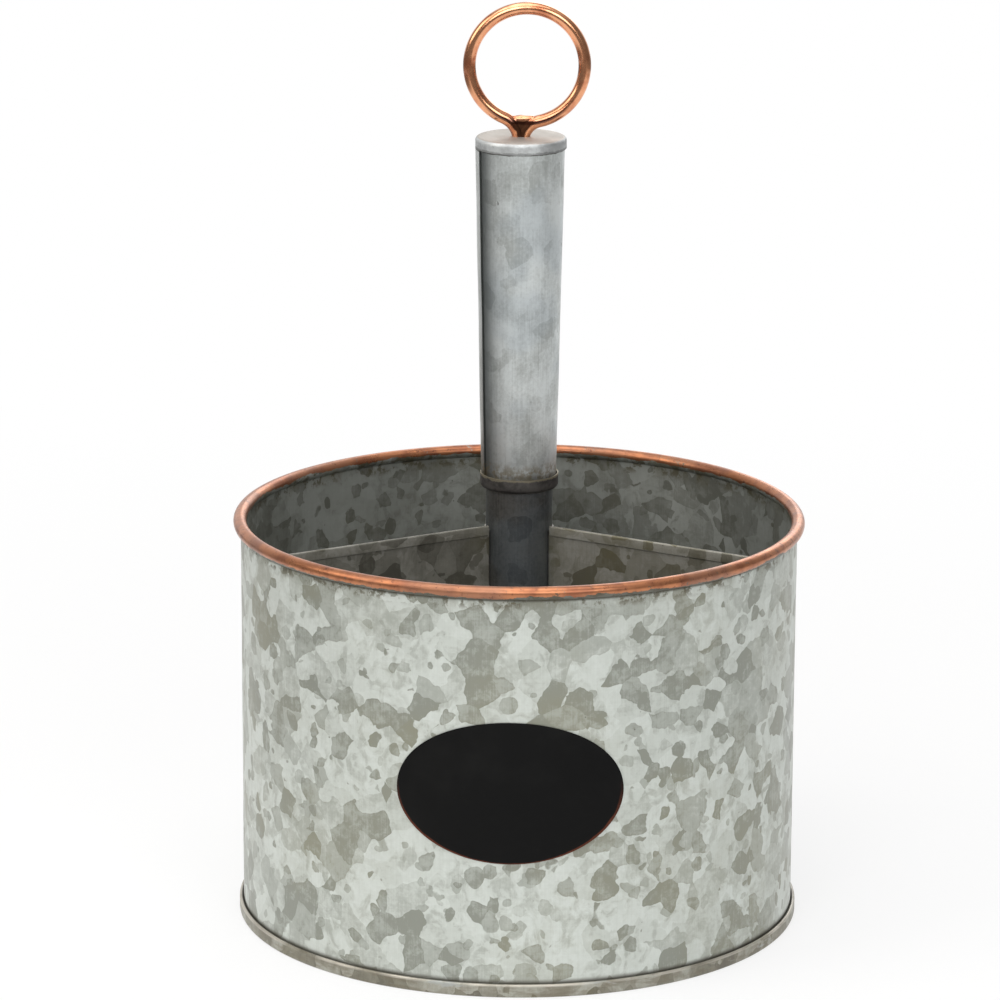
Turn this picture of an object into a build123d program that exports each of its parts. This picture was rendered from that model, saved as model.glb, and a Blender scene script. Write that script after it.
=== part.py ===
"""Round galvanised storage caddy with three compartments, a tube handle and a carrying ring.

The origin is the middle of the foot, where the caddy stands, with +Z up and the label facing -Y.
All sizes are in millimetres.
"""
import math
import os

from build123d import *

# Sheet metal
sheet = 0.4                    # thickness of every galvanised sheet
layer_gap = 0.05               # air between two layers that are folded or pressed together

# Bucket wall and its wired rim
wall_radius = 87.0             # outside of the wall
rim_height = 126.9             # middle of the rim wire above the table
rim_overhang = 0.25            # how far the wire's middle lies outside the wall
rim_wire_diameter = 3.2
rim_curl_end = 60              # degrees below level at which the curl's edge ends
rim_neck_bend = 0.6            # middle radius of the bend under the rim
lock_seam_width = 5.0          # the wall's upright seam at the back
lock_seam_depth = 1.0

# Floor and the double seam that the caddy stands on
floor_height = 6.4             # top of the floor above the table
floor_bend = 1.2
seam_height = 4.2
seam_foot_bend = 0.6           # middle radius of the seam's lower corners
hook_clearance = 0.3           # air beyond the end of each folded hook

# Dividers, evenly spaced from the one at the back, with the side that each one's hem is folded to
hem_sides = {"divider_back": 1, "divider_left": 1, "divider_right": -1}
divider_drop = 0.9             # top edge below the middle of the rim wire
divider_flange = 8.0           # width of the flanges on the wall and on the post
divider_rim_clearance = 0.5
hem_height = 3.0
hem_gap = 0.2

# Post and handle
post_diameter = 20.8
post_sheet = 0.5
handle_lift = 11.5             # underside of the lower cap above the dividers
handle_length = 110.7          # over both caps
tube_lower_diameter = 22.8
tube_upper_diameter = 27.2
lap_edge = 204                 # direction of the handle tube's lapped edge, in degrees
lap_width = 7.0
upper_cap_depth = 3.5
lower_cap_depth = 4.4
cap_bend = 1.2                 # outside radius of a cap's edge
upper_cap_play = 0.05
lower_cap_play = 0.3

# Ring
ring_diameter = 39.2           # over the wire
ring_wire_diameter = 3.9
ring_sidestep = 1.75           # the ring sits a little to the right of its neck
neck_width = 5.2               # over the wire's two ends
neck_height = 2.3              # from the upper cap to the ring's lowest level
neck_straight = 0.3
braze_thickness = 3.0          # of the filling between the wire's two ends
braze_rise = 1.0               # top of the filling above the lowest point of the wire's middle line

# Rod, nut and washer
rod_diameter = 4.0
rod_clearance = 0.2
rod_end = 1.2                  # lower end of the rod above the table
thread_clearance = 0.05
nut_width = 7.0                # across flats
nut_height = 3.0
washer_diameter = 20.0
washer_thickness = 0.8

# Label
label_width = 69.8             # along the wall's curve
label_height = 44.4
label_thickness = 0.6
label_center_height = 64.5
label_turn = 1.6               # degrees that the label sits to the left of the front

# Sizes that follow
layer = sheet + layer_gap
wall_middle = wall_radius - sheet / 2
wall_inside = wall_radius - sheet
rim_radius = wall_radius + rim_overhang
curl_middle = rim_wire_diameter / 2 + layer_gap + sheet / 2
bead_radius = curl_middle + sheet / 2
post_radius = post_diameter / 2
divider_top = rim_height - divider_drop
handle_base = divider_top + handle_lift
handle_top = handle_base + handle_length
rod_hole = rod_diameter / 2 + rod_clearance


def largest_bend(radius, width):
    """Middle radius of a bend, kept small enough for two of them to fit side by side."""
    return min(radius, 0.45 * width)


def folded_strip(points, bends):
    """Section of a folded sheet: its middle line, with a middle radius for each corner."""
    points = [Vector(*point) for point in points]
    steps = [(b - a).normalized() for a, b in zip(points, points[1:])]
    normals = [Vector(-step.Y, step.X) for step in steps]
    turns = [a.X * b.Y - a.Y * b.X for a, b in zip(steps, steps[1:])]

    def side(sign):
        shift = sign * sheet / 2
        line = [points[0] + normals[0] * shift]
        for point, a, b in zip(points[1:], normals, normals[1:]):
            line.append(point + (a + b) * (shift / (1 + a.dot(b))))
        line.append(points[-1] + normals[-1] * shift)
        radii = [bend - math.copysign(shift, turn * sign) for bend, turn in zip(bends, turns)]
        return FilletPolyline(*line, radius=radii)

    left = side(1)
    right = side(-1)
    start = Line(left @ 0, right @ 0)
    end = Line(left @ 1, right @ 1)
    return make_face(left.edges() + right.edges() + start.edges() + end.edges())


def curved_strip(center, radius, start, sweep):
    """Section of a sheet bent round a centre, from a start angle through a sweep."""
    outer = CenterArc(center, radius + sheet / 2, start, sweep)
    inner = CenterArc(center, radius - sheet / 2, start, sweep)
    ends = [Line(outer @ 0, inner @ 0), Line(outer @ 1, inner @ 1)]
    return make_face([outer.edge(), inner.edge()] + [end.edge() for end in ends])


def turned(section):
    """Solid of revolution of a section drawn with radius as X and height as Y."""
    return revolve(Plane.XZ * section, Axis.Z)


def ring_plate(outer_radius, hole_radius, bottom, thickness):
    """Round plate or tube with a hole down its middle."""
    return Pos(0, 0, bottom) * extrude(Circle(outer_radius) - Circle(hole_radius), thickness)


def round_bar(radius, bottom, length):
    """Upright round bar."""
    return Pos(0, 0, bottom) * extrude(Circle(radius), length)


def upright_shell(inner_radius, thickness, start, sweep, bottom, top):
    """Part of a cylinder wall between two angles and two heights."""
    middle = inner_radius + thickness / 2
    section = Pos(middle, (bottom + top) / 2) * Rectangle(thickness, top - bottom)
    shell = revolve(Plane.XZ * section, Axis.Z, revolution_arc=sweep)
    return Rot(0, 0, start) * shell


def bucket_wall():
    """Wall, with the hook of the base seam below and the curl round the rim wire above."""
    hook_radius = wall_middle + 2 * layer
    hook_top = seam_height - sheet - hook_clearance
    foot = sheet / 2 + layer
    rim_middle = Vector(rim_radius, rim_height)

    # The wall bends inwards under the rim and runs into the curl without a kink.
    bend_x = wall_middle - rim_neck_bend
    reach = rim_neck_bend + curl_middle
    rise = math.sqrt(reach ** 2 - (rim_radius - bend_x) ** 2)
    bend_center = Vector(bend_x, rim_height - rise)
    bend_angle = math.degrees(math.asin(rise / reach))

    foot_bend = largest_bend(seam_foot_bend, 2 * layer)
    wall = folded_strip(
        [(hook_radius, hook_top), (hook_radius, foot), (wall_middle, foot), (wall_middle, bend_center.Y)],
        [foot_bend, foot_bend],
    )
    neck = curved_strip(bend_center, rim_neck_bend, 0, bend_angle)
    curl = curved_strip(rim_middle, curl_middle, 180 + bend_angle, -(180 + bend_angle + rim_curl_end))
    wall = turned(wall + neck + curl)

    seam_angle = math.degrees(lock_seam_width / wall_radius)
    seam_bottom = seam_height + 2 * layer_gap
    seam_top = rim_height - bead_radius - sheet
    seam = upright_shell(
        wall_middle, sheet / 2 + lock_seam_depth, 90 - seam_angle / 2, seam_angle, seam_bottom, seam_top
    )
    return wall + seam


def rim_wire():
    """Steel wire inside the curl of the rim."""
    return Pos(0, 0, rim_height) * Torus(rim_radius, rim_wire_diameter / 2)


def base_plate():
    """Recessed floor, whose edge goes round the wall's hook as a double seam."""
    inner = wall_middle - layer
    outer = wall_middle + 3 * layer
    hook = wall_middle + layer
    hook_end = sheet + layer + hook_clearance
    floor_middle = floor_height - sheet / 2
    foot_bend = largest_bend(seam_foot_bend, outer - inner)
    top_bend = largest_bend(seam_foot_bend, outer - hook)
    section = folded_strip(
        [
            (rod_hole, floor_middle),
            (inner, floor_middle),
            (inner, sheet / 2),
            (outer, sheet / 2),
            (outer, seam_height - sheet / 2),
            (hook, seam_height - sheet / 2),
            (hook, hook_end),
        ],
        [floor_bend, foot_bend, foot_bend, top_bend, top_bend],
    )
    return turned(section)


def divider(direction, hem_side):
    """Upright sheet with a hemmed top and a flange at each side, for the post and for the wall."""
    post_side = post_radius + layer_gap
    wall_side = wall_inside - layer_gap
    rim_side = rim_radius - bead_radius - divider_rim_clearance
    flange_top = rim_height - bead_radius - divider_rim_clearance
    fold_radius = (sheet + hem_gap) / 2
    fold_height = divider_top - fold_radius - sheet / 2

    outline = Polyline(
        (post_side, floor_height),
        (wall_side, floor_height),
        (wall_side, flange_top),
        (rim_side, flange_top),
        (rim_side, fold_height),
        (post_side, fold_height),
        close=True,
    )
    web = extrude(Plane.XZ * make_face(outline), sheet / 2, both=True)

    # The hem is drawn across the sheet and runs along its top edge.
    fold = curved_strip(Vector(-fold_radius, fold_height), fold_radius, 0, 180)
    flap_height = hem_height - fold_radius - sheet / 2
    flap = Pos(-2 * fold_radius, fold_height - flap_height / 2) * Rectangle(sheet, flap_height)
    hem_start = post_side + sheet + divider_rim_clearance
    hem = extrude(Plane.YZ * (fold + flap), rim_side - hem_start)
    hem = Pos(hem_start, 0, 0) * hem

    post_angle = math.degrees(divider_flange / post_side)
    wall_angle = math.degrees(divider_flange / wall_side)
    post_flange = upright_shell(post_side, sheet, 0, post_angle, floor_height, flange_top)
    wall_flange = upright_shell(wall_side - sheet, sheet, 0, wall_angle, floor_height, flange_top)

    plate = web + hem + post_flange + wall_flange
    if hem_side > 0:
        plate = plate.mirror(Plane.XZ)
    return Rot(0, 0, direction) * plate


def center_post():
    """Straight tube that stands on the floor and carries the handle."""
    return ring_plate(post_radius, post_radius - post_sheet, floor_height, handle_base - floor_height)


def handle_tube():
    """Tapered tube with a lapped edge down its side."""
    bottom = handle_base + sheet
    top = handle_top - sheet
    lower = tube_lower_diameter / 2
    upper = tube_upper_diameter / 2

    def radius_at(height):
        return lower + (upper - lower) * (height - bottom) / (top - bottom)

    def wall_section(low, high, inside, outside):
        corners = [
            (radius_at(low) + inside, low),
            (radius_at(low) + outside, low),
            (radius_at(high) + outside, high),
            (radius_at(high) + inside, high),
        ]
        return make_face(Polyline(*corners, close=True))

    tube = turned(wall_section(bottom, top, -sheet, 0))
    lap_bottom = handle_base + lower_cap_depth + layer_gap
    lap_top = handle_top - upper_cap_depth - layer_gap
    lap_angle = math.degrees(lap_width / lower)
    lap = wall_section(lap_bottom, lap_top, -sheet / 2, sheet)
    lap = revolve(Plane.XZ * lap, Axis.Z, revolution_arc=lap_angle)
    return tube + Rot(0, 0, lap_edge - lap_angle) * lap


def cap(inside, depth):
    """Pressed cap of an inside radius and a depth, opening downwards, with its flat face at height zero."""
    outside = inside + sheet
    outer = Pos(outside / 2, -depth / 2) * Rectangle(outside, depth)
    outer = fillet(outer.vertices().group_by(Axis.Y)[-1].sort_by(Axis.X)[-1], cap_bend)
    inner = Pos(inside / 2, -sheet - depth / 2) * Rectangle(inside, depth)
    hole = Pos(rod_hole / 2, 0) * Rectangle(rod_hole, 4 * depth)
    return turned(outer - inner - hole)


def handle_top_cap():
    """Cap over the handle tube's wide end."""
    return Pos(0, 0, handle_top) * cap(tube_upper_diameter / 2 + upper_cap_play, upper_cap_depth)


def handle_bottom_cap():
    """Cap over the handle tube's narrow end, upside down, as wide as the tube at the cap's edge."""
    slope = (tube_upper_diameter - tube_lower_diameter) / 2 / (handle_length - 2 * sheet)
    tube_radius = tube_lower_diameter / 2 + slope * lower_cap_depth
    return Pos(0, 0, handle_base) * Rot(180, 0, 0) * cap(tube_radius + lower_cap_play, lower_cap_depth)


def handle_ring():
    """Wire ring whose two ends bend down side by side and are brazed into a short neck."""
    wire = ring_wire_diameter / 2
    ring_radius = ring_diameter / 2 - wire
    ring_middle = Vector(ring_sidestep, handle_top + neck_height + ring_diameter / 2)
    bend_radius = neck_height - neck_straight + wire
    foot = handle_top + neck_straight
    half = neck_width / 2 - wire
    braze_top = ring_middle.Y - ring_radius + braze_rise

    def half_ring(side):
        """Wire from the foot of one leg round to the top of the ring."""
        bend_middle = Vector(side * (half + bend_radius), foot)
        span = ring_middle - bend_middle
        lean = math.degrees(math.acos((bend_radius + ring_radius) / span.length))
        leaving = math.degrees(math.atan2(span.Y, span.X)) + side * lean
        start = 90 + side * 90
        leg = Line((side * half, handle_top), (side * half, foot))
        bend = CenterArc(bend_middle, bend_radius, start, leaving - start)
        joining = leaving + side * 180
        arc = CenterArc(ring_middle, ring_radius, joining, 90 + side * 360 - joining)
        straight = Line(bend @ 1, arc @ 0)
        path = Plane.XZ * Wire([leg.edge(), bend.edge(), straight.edge(), arc.edge()])
        profile = Pos(side * half, 0, handle_top) * Circle(wire)
        return sweep(profile, path=path)

    ring = half_ring(1) + half_ring(-1)
    braze = Pos(0, 0, (foot + braze_top) / 2) * Box(neck_width, braze_thickness, braze_top - foot)
    return ring + braze


def tie_rod():
    """Rod from the ring's neck down to the nut under the floor."""
    return round_bar(rod_diameter / 2, rod_end, handle_top - rod_end)


def base_washer():
    """Large washer that spreads the nut's pull over the floor."""
    bottom = floor_height - sheet - washer_thickness
    return ring_plate(washer_diameter / 2, rod_hole, bottom, washer_thickness)


def base_nut():
    """Hexagon nut in the recess of the foot, with its corners bevelled."""
    bottom = floor_height - sheet - washer_thickness - nut_height
    corner = nut_width / 2 / math.cos(math.pi / 6)
    blank = Cylinder(corner, nut_height, align=(Align.CENTER, Align.CENTER, Align.MIN))
    blank = chamfer(blank.edges().filter_by(GeomType.CIRCLE), corner - nut_width / 2)
    nut = blank & extrude(RegularPolygon(nut_width / 2, 6, major_radius=False), nut_height)
    nut = nut - Cylinder(rod_diameter / 2 + thread_clearance, 4 * nut_height)
    return Pos(0, 0, bottom) * nut


def label_plate():
    """Oval plate that lies on the wall and follows its curve."""
    half_width = wall_radius * math.sin(label_width / 2 / wall_radius)
    oval = Ellipse(half_width, label_height / 2)
    oval = Pos(0, 0, label_center_height) * extrude(Plane.XZ * oval, 2 * wall_radius)
    skin = ring_plate(
        wall_radius + label_thickness, wall_radius, label_center_height - label_height, 2 * label_height
    )
    return Rot(0, 0, -label_turn) * (skin & oval)


def pieces():
    """Every piece under its name."""
    parts = {
        "bucket_wall": bucket_wall(),
        "rim_wire": rim_wire(),
        "base_plate": base_plate(),
        "center_post": center_post(),
        "handle_bottom_cap": handle_bottom_cap(),
        "handle_tube": handle_tube(),
        "handle_top_cap": handle_top_cap(),
        "handle_ring": handle_ring(),
        "tie_rod": tie_rod(),
        "base_washer": base_washer(),
        "base_nut": base_nut(),
        "label_plate": label_plate(),
    }
    for place, (name, hem_side) in enumerate(hem_sides.items()):
        parts[name] = divider(90 + 360 * place / len(hem_sides), hem_side)
    return parts


os.makedirs("parts", exist_ok=True)
for name, shape in pieces().items():
    export_step(shape, f"parts/{name}.step")
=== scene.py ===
"""Galvanised storage caddy with three compartments, a tube handle and a copper ring."""
import math

import bmesh
import bpy
from mathutils import Matrix, Vector


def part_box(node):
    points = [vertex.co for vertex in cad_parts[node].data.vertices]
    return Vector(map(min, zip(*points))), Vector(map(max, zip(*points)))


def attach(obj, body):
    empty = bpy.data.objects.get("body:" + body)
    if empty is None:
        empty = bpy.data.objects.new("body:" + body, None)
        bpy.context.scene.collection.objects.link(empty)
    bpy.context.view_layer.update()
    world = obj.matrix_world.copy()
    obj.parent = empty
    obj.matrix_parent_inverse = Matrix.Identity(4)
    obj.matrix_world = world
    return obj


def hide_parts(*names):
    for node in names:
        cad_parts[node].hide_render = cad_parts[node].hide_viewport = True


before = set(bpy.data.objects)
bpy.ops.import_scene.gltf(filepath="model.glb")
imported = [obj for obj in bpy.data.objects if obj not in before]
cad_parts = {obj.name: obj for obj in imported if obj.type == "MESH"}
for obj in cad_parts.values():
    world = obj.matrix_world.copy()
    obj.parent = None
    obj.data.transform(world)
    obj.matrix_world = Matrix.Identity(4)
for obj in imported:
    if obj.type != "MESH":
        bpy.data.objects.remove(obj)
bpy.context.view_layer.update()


# The camera
# It stands a metre and a half in front of the caddy and half a metre above the table, and looks a little
# down on it through a long lens, as for the photograph. The picture is square.
camera_place = (0, -1.54831, 0.53806)
camera_lens = 184.29
camera_sensor = 36
camera_tilt = math.radians(14.672)
camera_turn = math.radians(0.2217)
camera_roll = math.radians(0.2398)
camera = bpy.data.objects.new("camera", bpy.data.cameras.new("camera"))
bpy.context.scene.collection.objects.link(camera)
camera.location = camera_place
camera.rotation_euler = (
    Matrix.Rotation(camera_turn, 3, "Z")
    @ Matrix.Rotation(math.pi / 2 - camera_tilt, 3, "X")
    @ Matrix.Rotation(camera_roll, 3, "Z")
).to_euler()
camera.data.sensor_width = camera_sensor
camera.data.lens = camera_lens
bpy.context.scene.camera = camera
bpy.context.scene.view_settings.view_transform = "Standard"


# The studio
# The caddy stands on a plain pale floor under soft light from the front, the left and above, with white
# behind it. The room on the camera's side is dim, and polished metal shows that.
class Signal:
    """A value, colour or place in a material. Arithmetic on it adds Math nodes to that material."""

    def __init__(self, tree, socket):
        self.tree = tree
        self.socket = socket

    def fill(self, made, values):
        """Sets the input sockets of a node to values, or links them to signals."""
        sockets = {socket.identifier: socket for socket in made.inputs}
        for key, value in values.items():
            if isinstance(value, Signal):
                self.tree.links.new(value.socket, sockets[key])
            else:
                sockets[key].default_value = value

    def node(self, kind, settings, values):
        """Adds a node of a type, sets its settings and then its inputs, and returns its outputs by name."""
        made = self.tree.nodes.new("ShaderNode" + kind)
        for key, value in settings.items():
            setattr(made, key, value)
        self.fill(made, values)
        return {socket.identifier: Signal(self.tree, socket) for socket in made.outputs}

    def math(self, operation, first, second=0.0):
        values = {"Value": first, "Value_001": second}
        return self.node("Math", {"operation": operation}, values)["Value"]

    def __add__(self, other):
        return self.math("ADD", self, other)

    def __radd__(self, other):
        return self.math("ADD", other, self)

    def __sub__(self, other):
        return self.math("SUBTRACT", self, other)

    def __rsub__(self, other):
        return self.math("SUBTRACT", other, self)

    def __mul__(self, other):
        return self.math("MULTIPLY", self, other)

    def __rmul__(self, other):
        return self.math("MULTIPLY", other, self)

    def __pow__(self, other):
        return self.math("POWER", self, other)

    def __abs__(self):
        return self.math("ABSOLUTE", self)

    def larger(self, other):
        return self.math("MAXIMUM", self, other)

    def diagonal(self, other):
        """Distance that this number and another make as two sides of a right angle."""
        return (self * self + other * other) ** 0.5

    def ramp(self, low, high):
        """Rises smoothly from 0 to 1 as the signal goes from low to high."""
        values = {"Value": self, "From Min": low, "From Max": high}
        return self.node("MapRange", {"interpolation_type": "SMOOTHSTEP"}, values)["Result"]

    def blend(self, first, second):
        """Colour that goes from the first to the second as the signal goes from 0 to 1."""
        values = {"Factor_Float": self, "A_Color": first, "B_Color": second}
        return self.node("Mix", {"data_type": "RGBA"}, values)["Result_Color"]

    def vector_math(self, operation, second, third=(0, 0, 0)):
        values = {"Vector": self, "Vector_001": second, "Vector_002": third}
        return self.node("VectorMath", {"operation": operation}, values)["Vector"]

    def stretched(self, x, y, z):
        """This place with its three axes multiplied."""
        return self.vector_math("MULTIPLY", (x, y, z))

    def moved(self, steps):
        """This place moved by fixed steps along the three axes."""
        return self.vector_math("ADD", steps)

    def stirred(self, size, share):
        """This place moved about by cloudy noise of a size, by up to half a share, in metres."""
        swirl = self.noise(size, 2, 0.55, "Color").vector_math("SUBTRACT", (0.5, 0.5, 0.5))
        return swirl.vector_math("MULTIPLY_ADD", (share, share, share), self)

    def noise(self, size, detail=2.0, roughness=0.5, output="Fac"):
        """Cloudy pattern at this place, whose clouds are about as large as size, in metres."""
        values = {"Vector": self, "Scale": 1 / size, "Detail": detail, "Roughness": roughness}
        return self.node("TexNoise", {}, values)[output]

    def cells(self, size):
        """Random cells at this place: the distance to each cell's middle, and a colour for each cell."""
        return self.node("TexVoronoi", {}, {"Vector": self, "Scale": 1 / size})

    def parts(self):
        """The three numbers of a place or colour."""
        split = self.node("SeparateXYZ", {}, {"Vector": self})
        return split["X"], split["Y"], split["Z"]


def tint(red, green, blue):
    """Colour from the three eight-bit values that a colour picker shows."""
    def linear(value):
        share = value / 255
        return share / 12.92 if share < 0.04045 else ((share + 0.055) / 1.055) ** 2.4
    return (linear(red), linear(green), linear(blue), 1)


def new_finish(name):
    """New material, with its surface shader and the place on the object that its patterns read."""
    material = bpy.data.materials.new(name)
    material.use_nodes = True
    tree = material.node_tree
    coordinates = tree.nodes.new("ShaderNodeTexCoord")
    return material, tree.nodes["Principled BSDF"], Signal(tree, coordinates.outputs["Object"])


def dress(piece, material):
    """Gives a piece its finish."""
    piece.data.materials.clear()
    piece.data.materials.append(material)


floor_size = 6.0
bpy.ops.object.select_all(action="DESELECT")
bpy.ops.mesh.primitive_plane_add(size=floor_size)
floor = bpy.context.object
floor.name = "floor"

floor_paint, floor_surface, floor_place = new_finish("floor_paint")
floor_tone = floor_place.noise(0.4).blend(tint(240, 240, 240), tint(244, 244, 244))
floor_place.fill(floor_surface, {"Base Color": floor_tone, "Roughness": 0.9})
white_share = 0.75
dim_level = 0.22
rays = floor_place.node("LightPath", {}, {})
glow = floor_place.node("Emission", {}, {"Color": (1, 1, 1, 1), "Strength": 1.0})["Emission"]
dim = floor_place.node("Emission", {}, {"Color": (1, 1, 1, 1), "Strength": dim_level})["Emission"]
shown = rays["Is Camera Ray"].larger(rays["Is Glossy Ray"]).larger(rays["Is Transmission Ray"])
floor_x, floor_y, _ = floor_place.parts()
floor_radius = floor_x.diagonal(floor_y)
far = floor_radius.ramp(0.15, 0.7)
paper = floor_place.node("MixShader", {}, {
    "Fac": shown * (white_share + far * (1 - white_share)),
    "Shader": Signal(floor_place.tree, floor_surface.outputs["BSDF"]),
    "Shader_001": glow,
})["Shader"]

# Metal shows a table that ends in front of the caddy and to its left and right, with the dim room beyond
# it, and a pale strip in the dim parts at the sides, about a metre out.
pale_strip = floor_radius.ramp(0.93, 0.98) * (1 - floor_radius.ramp(1.08, 1.15))
beside = floor_x.ramp(0.6, 0.9).larger((0 - floor_x).ramp(0.3, 0.52)) * (1 - pale_strip)
table_end = beside.larger((0 - floor_y).ramp(0.86, 0.98))
mirrored_floor = floor_place.node("MixShader", {}, {
    "Fac": rays["Is Glossy Ray"] * table_end,
    "Shader": paper,
    "Shader_001": dim,
})["Shader"]
floor_place.fill(floor_place.tree.nodes["Material Output"], {"Surface": mirrored_floor})
dress(floor, floor_paint)

world = bpy.data.worlds.new("room")
world.use_nodes = True
bpy.context.scene.world = world
room = Signal(world.node_tree, world.node_tree.nodes.new("ShaderNodeTexCoord").outputs["Generated"])
room_rays = room.node("LightPath", {}, {})
_, ahead, upward = room.parts()
backdrop = ahead.ramp(0.3, 0.8).larger(upward.ramp(0.5, 0.9) * 0.6)
seen = room_rays["Is Camera Ray"]
mirrored = room_rays["Is Glossy Ray"].larger(room_rays["Is Transmission Ray"])
mirrored_level = 0.2 + 0.7 * backdrop
soft_level = 0.36
soft = (1 - seen) * (1 - mirrored)
room_level = seen + (1 - seen) * mirrored * mirrored_level + soft * soft_level
room.fill(world.node_tree.nodes["Background"], {"Color": (1, 1, 1, 1), "Strength": room_level})

lamp_target = Vector((0, 0, 0.12))


def softbox(name, place, width, power, colour=(1, 1, 1)):
    """Square soft lamp that faces the middle of the caddy."""
    lamp = bpy.data.objects.new(name, bpy.data.lights.new(name, "AREA"))
    bpy.context.scene.collection.objects.link(lamp)
    lamp.data.size = width
    lamp.data.energy = power
    lamp.data.color = colour
    lamp.location = place
    lamp.rotation_euler = (lamp_target - lamp.location).to_track_quat("-Z", "Y").to_euler()


softbox("key_lamp", (-0.4, -1.8, 1.25), width=1.0, power=13)
softbox("left_lamp", (-1.35, -0.5, 1.1), width=1.0, power=8, colour=(1, 0.95, 0.88))
softbox("fill_lamp", (0.7, -1.7, 1.1), width=0.8, power=8)
softbox("top_lamp", (-0.2, -0.25, 1.85), width=1.5, power=16)
softbox("back_lamp", (0.5, 1.7, 1.0), width=1.0, power=6)


# Floor of the caddy
# A disc of galvanised sheet, pressed down at its edge and folded round the foot of the wall as a double
# seam. The caddy stands on that seam, and the disc has a hole for the tie rod.
sheet = 0.0004
layer = 0.00045
wall_middle = 0.0868
full_turn = 2 * math.pi
spin_steps = 256
corner_steps = 5
same_spot = 1e-6  # Points as near to each other as this, in metres, count as one.


def round_corner(a, b, c, radius):
    """Points of the arc that rounds the corner b of the line a, b, c."""
    into = (b - a).normalized()
    out = (c - b).normalized()
    turn = math.atan2(into.x * out.y - into.y * out.x, into.dot(out))
    reach = radius * math.tan(abs(turn) / 2)
    side = Vector((-into.y, into.x)) * math.copysign(radius, turn)
    center = b - into * reach + side
    spokes = [Matrix.Rotation(turn * step / corner_steps, 2) @ -side for step in range(corner_steps + 1)]
    return [center + spoke for spoke in spokes]


def rounded(corners):
    """The line through corners of (x, y) or (x, y, radius), with an arc at each that has a radius."""
    points = [Vector(corner[:2]) for corner in corners]
    line = [points[0]]
    for corner, a, b, c in zip(corners[1:], points, points[1:], points[2:]):
        line += round_corner(a, b, c, corner[2]) if len(corner) == 3 else [b]
    return line + [points[-1]]


def draw_line(name, points):
    """New piece: one vertex, extruded along points in space, and left selected in edit mode."""
    bpy.ops.object.select_all(action="DESELECT")
    bpy.ops.mesh.primitive_plane_add(size=sheet)
    piece = bpy.context.object
    piece.name = name
    piece.data.name = name
    bpy.ops.object.mode_set(mode="EDIT")
    bpy.ops.mesh.select_mode(type="VERT")
    bpy.ops.mesh.select_all(action="SELECT")
    bpy.ops.mesh.merge(type="CENTER")
    bpy.ops.transform.translate(value=points[0])
    for here, there in zip(points, points[1:]):
        bpy.ops.mesh.extrude_vertices_move(TRANSFORM_OT_translate={"value": there - here})
    bpy.ops.mesh.select_all(action="SELECT")
    return piece


def draw_up(distance, steps):
    """Extrudes the selected edges upwards."""
    for step in range(steps):
        bpy.ops.mesh.extrude_edges_move(TRANSFORM_OT_translate={"value": (0, 0, distance / steps)})


def close_up():
    """Merges doubles, turns the faces outwards and leaves edit mode."""
    bpy.ops.mesh.select_all(action="SELECT")
    bpy.ops.mesh.remove_doubles(threshold=same_spot)
    bpy.ops.mesh.normals_make_consistent(inside=False)
    bpy.ops.object.mode_set(mode="OBJECT")


def spin_sheet(name, profile):
    """New piece: a profile of (radius, height) points, spun round the caddy's axis."""
    piece = draw_line(name, [Vector((radius, 0, height)) for radius, height in profile])
    bpy.ops.mesh.spin(steps=spin_steps, angle=full_turn, center=(0, 0, 0), axis=(0, 0, 1))
    close_up()
    return piece


def shape(piece, kind, **settings):
    """Adds a modifier to a piece and applies it."""
    bpy.ops.object.select_all(action="DESELECT")
    piece.select_set(True)
    bpy.context.view_layer.objects.active = piece
    modifier = piece.modifiers.new(kind.lower(), kind)
    for key, value in settings.items():
        setattr(modifier, key, value)
    bpy.ops.object.modifier_apply(modifier=modifier.name)


def dent(piece, size, depth, where, direction="NORMAL"):
    """Gives a piece slight dents of a size and depth, on the points that where picks out."""
    group = piece.vertex_groups.new(name="dented")
    group.add([v.index for v in piece.data.vertices if where(v.co)], 1.0, "REPLACE")
    clouds = bpy.data.textures.new(piece.name + "_dents", "CLOUDS")
    clouds.noise_scale = size
    settings = {"texture": clouds, "strength": depth, "direction": direction}
    shape(piece, "DISPLACE", vertex_group=group.name, **settings)
    piece.vertex_groups.clear()


def thicken(piece, thickness=sheet):
    """Gives a sheet its thickness on both sides of the middle line, and smooth faces."""
    shape(piece, "SOLIDIFY", thickness=thickness, offset=0, use_even_offset=True)
    bpy.ops.object.shade_smooth_by_angle(angle=math.radians(40))


def place_piece(piece, node):
    """Hides the node of the frame that a piece stands for, and attaches the piece to the root body."""
    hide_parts(node)
    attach(piece, "root")


def crystals(ground, size, shift, low, high):
    """Dark crystals, which grow as round lobes against pale ones: where they are, their outline, and three
    numbers for each dark and each pale one.

    Low and high say how far the dark ones push the pale ones back, which changes from place to place."""
    crowd = ground.moved(shift).noise(size * 2.6, 1, 0.4).ramp(0.3, 0.7) * (high - low) + low
    dark = ground.moved(shift).cells(size)
    pale = ground.moved(shift).moved((0.31, 0.17, 0.53)).cells(size)
    lead = pale["Distance"] * crowd - dark["Distance"]
    outline = lead.ramp(0, 0.02) * (1 - lead.ramp(0.02, 0.12))
    return lead.ramp(0, 0.025), outline, dark["Color"].parts(), pale["Color"].parts()


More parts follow.
